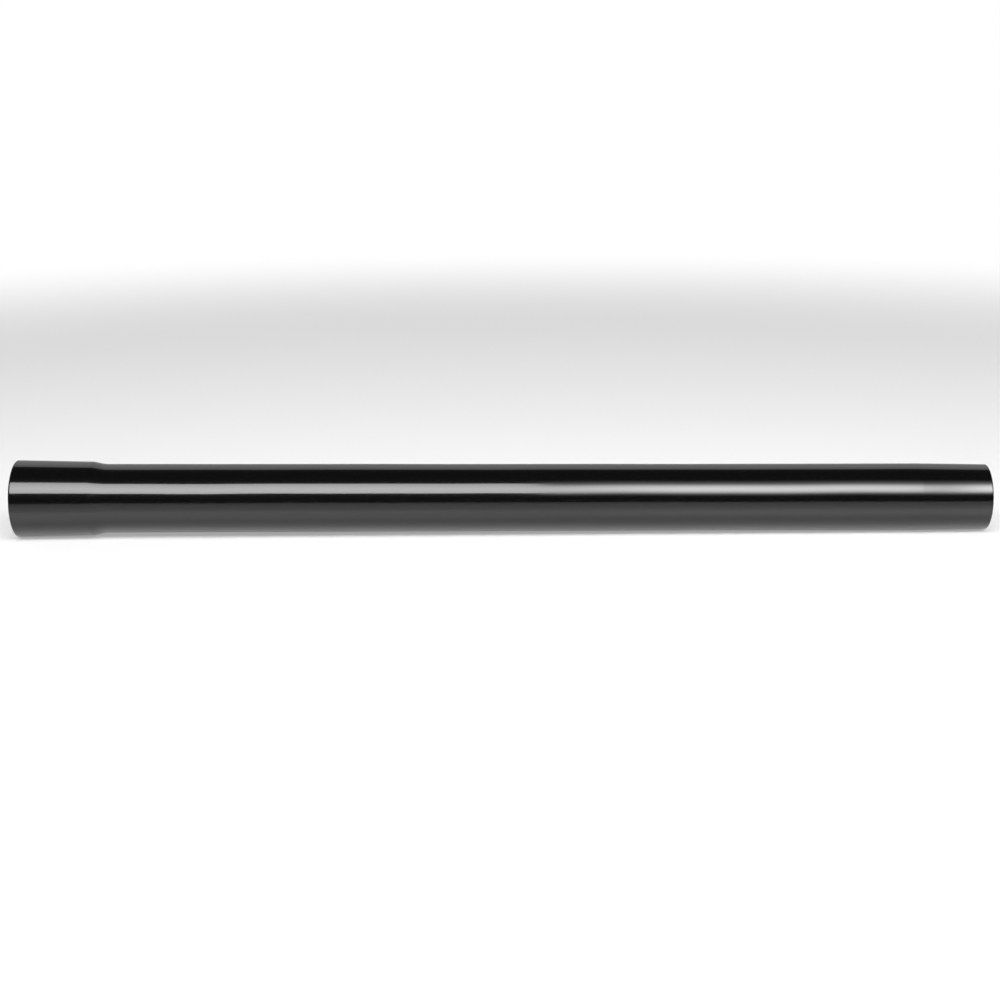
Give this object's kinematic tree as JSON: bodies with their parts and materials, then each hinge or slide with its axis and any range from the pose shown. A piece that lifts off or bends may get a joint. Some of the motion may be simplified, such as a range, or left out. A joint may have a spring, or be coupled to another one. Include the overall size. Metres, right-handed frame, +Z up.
{
  "type": "suction tube",
  "caption": "Straight black plastic suction tube with a flared push-fit socket at one end and a tapered spigot at the other, for joining hoses and nozzles.",
  "frame": {"origin": "centre of the socket's mouth, on the tube's axis", "axes": "+X along the tube's axis from the socket to the spigot, +Z up as the tube lies on a table"},
  "size_m": [0.505, 0.04, 0.04],
  "materials": {
    "black_plastic": "gloss, as moulded"
  },
  "bodies": {
    "root": {"suction_tube": "black_plastic"}
  },
  "joints": []
}
